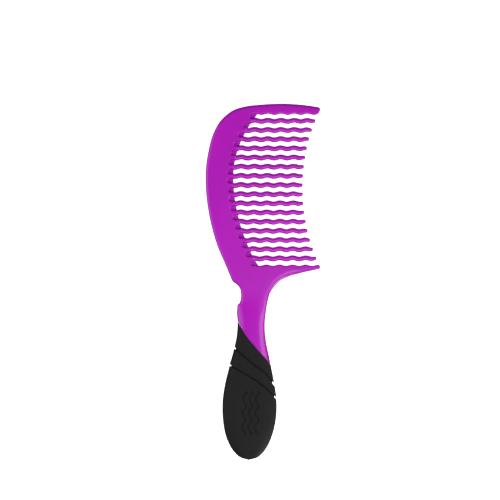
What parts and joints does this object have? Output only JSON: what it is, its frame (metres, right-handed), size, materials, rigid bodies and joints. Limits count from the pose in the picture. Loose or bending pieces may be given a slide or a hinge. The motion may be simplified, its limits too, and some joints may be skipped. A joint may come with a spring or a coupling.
{
  "type": "wide tooth comb",
  "caption": "Wide tooth detangling comb with wavy teeth, a curved spine with a thumb notch, and a soft rubber grip moulded over a slim handle.",
  "frame": {"origin": "under the middle of the comb's box, on the surface that the comb lies on", "axes": "+X along the teeth to their tips, +Y along the comb from the end of the grip to the head, +Z out of the comb's face"},
  "size_m": [0.0706, 0.22, 0.013],
  "materials": {
    "purple_plastic": "satin moulded purple plastic",
    "black_rubber": "matte soft-touch black rubber"
  },
  "bodies": {
    "root": {"spine": "purple_plastic", "neck": "purple_plastic", "handle_core": "purple_plastic", "guard_tooth_top": "purple_plastic", "tooth_01": "purple_plastic", "tooth_02": "purple_plastic", "tooth_03": "purple_plastic", "tooth_04": "purple_plastic", "tooth_05": "purple_plastic", "tooth_06": "purple_plastic", "tooth_07": "purple_plastic", "tooth_08": "purple_plastic", "tooth_09": "purple_plastic", "tooth_10": "purple_plastic", "tooth_11": "purple_plastic", "tooth_12": "purple_plastic", "tooth_13": "purple_plastic", "tooth_14": "purple_plastic", "tooth_15": "purple_plastic", "tooth_16": "purple_plastic", "guard_tooth_bottom": "purple_plastic", "rubber_grip": "black_rubber"}
  },
  "joints": []
}
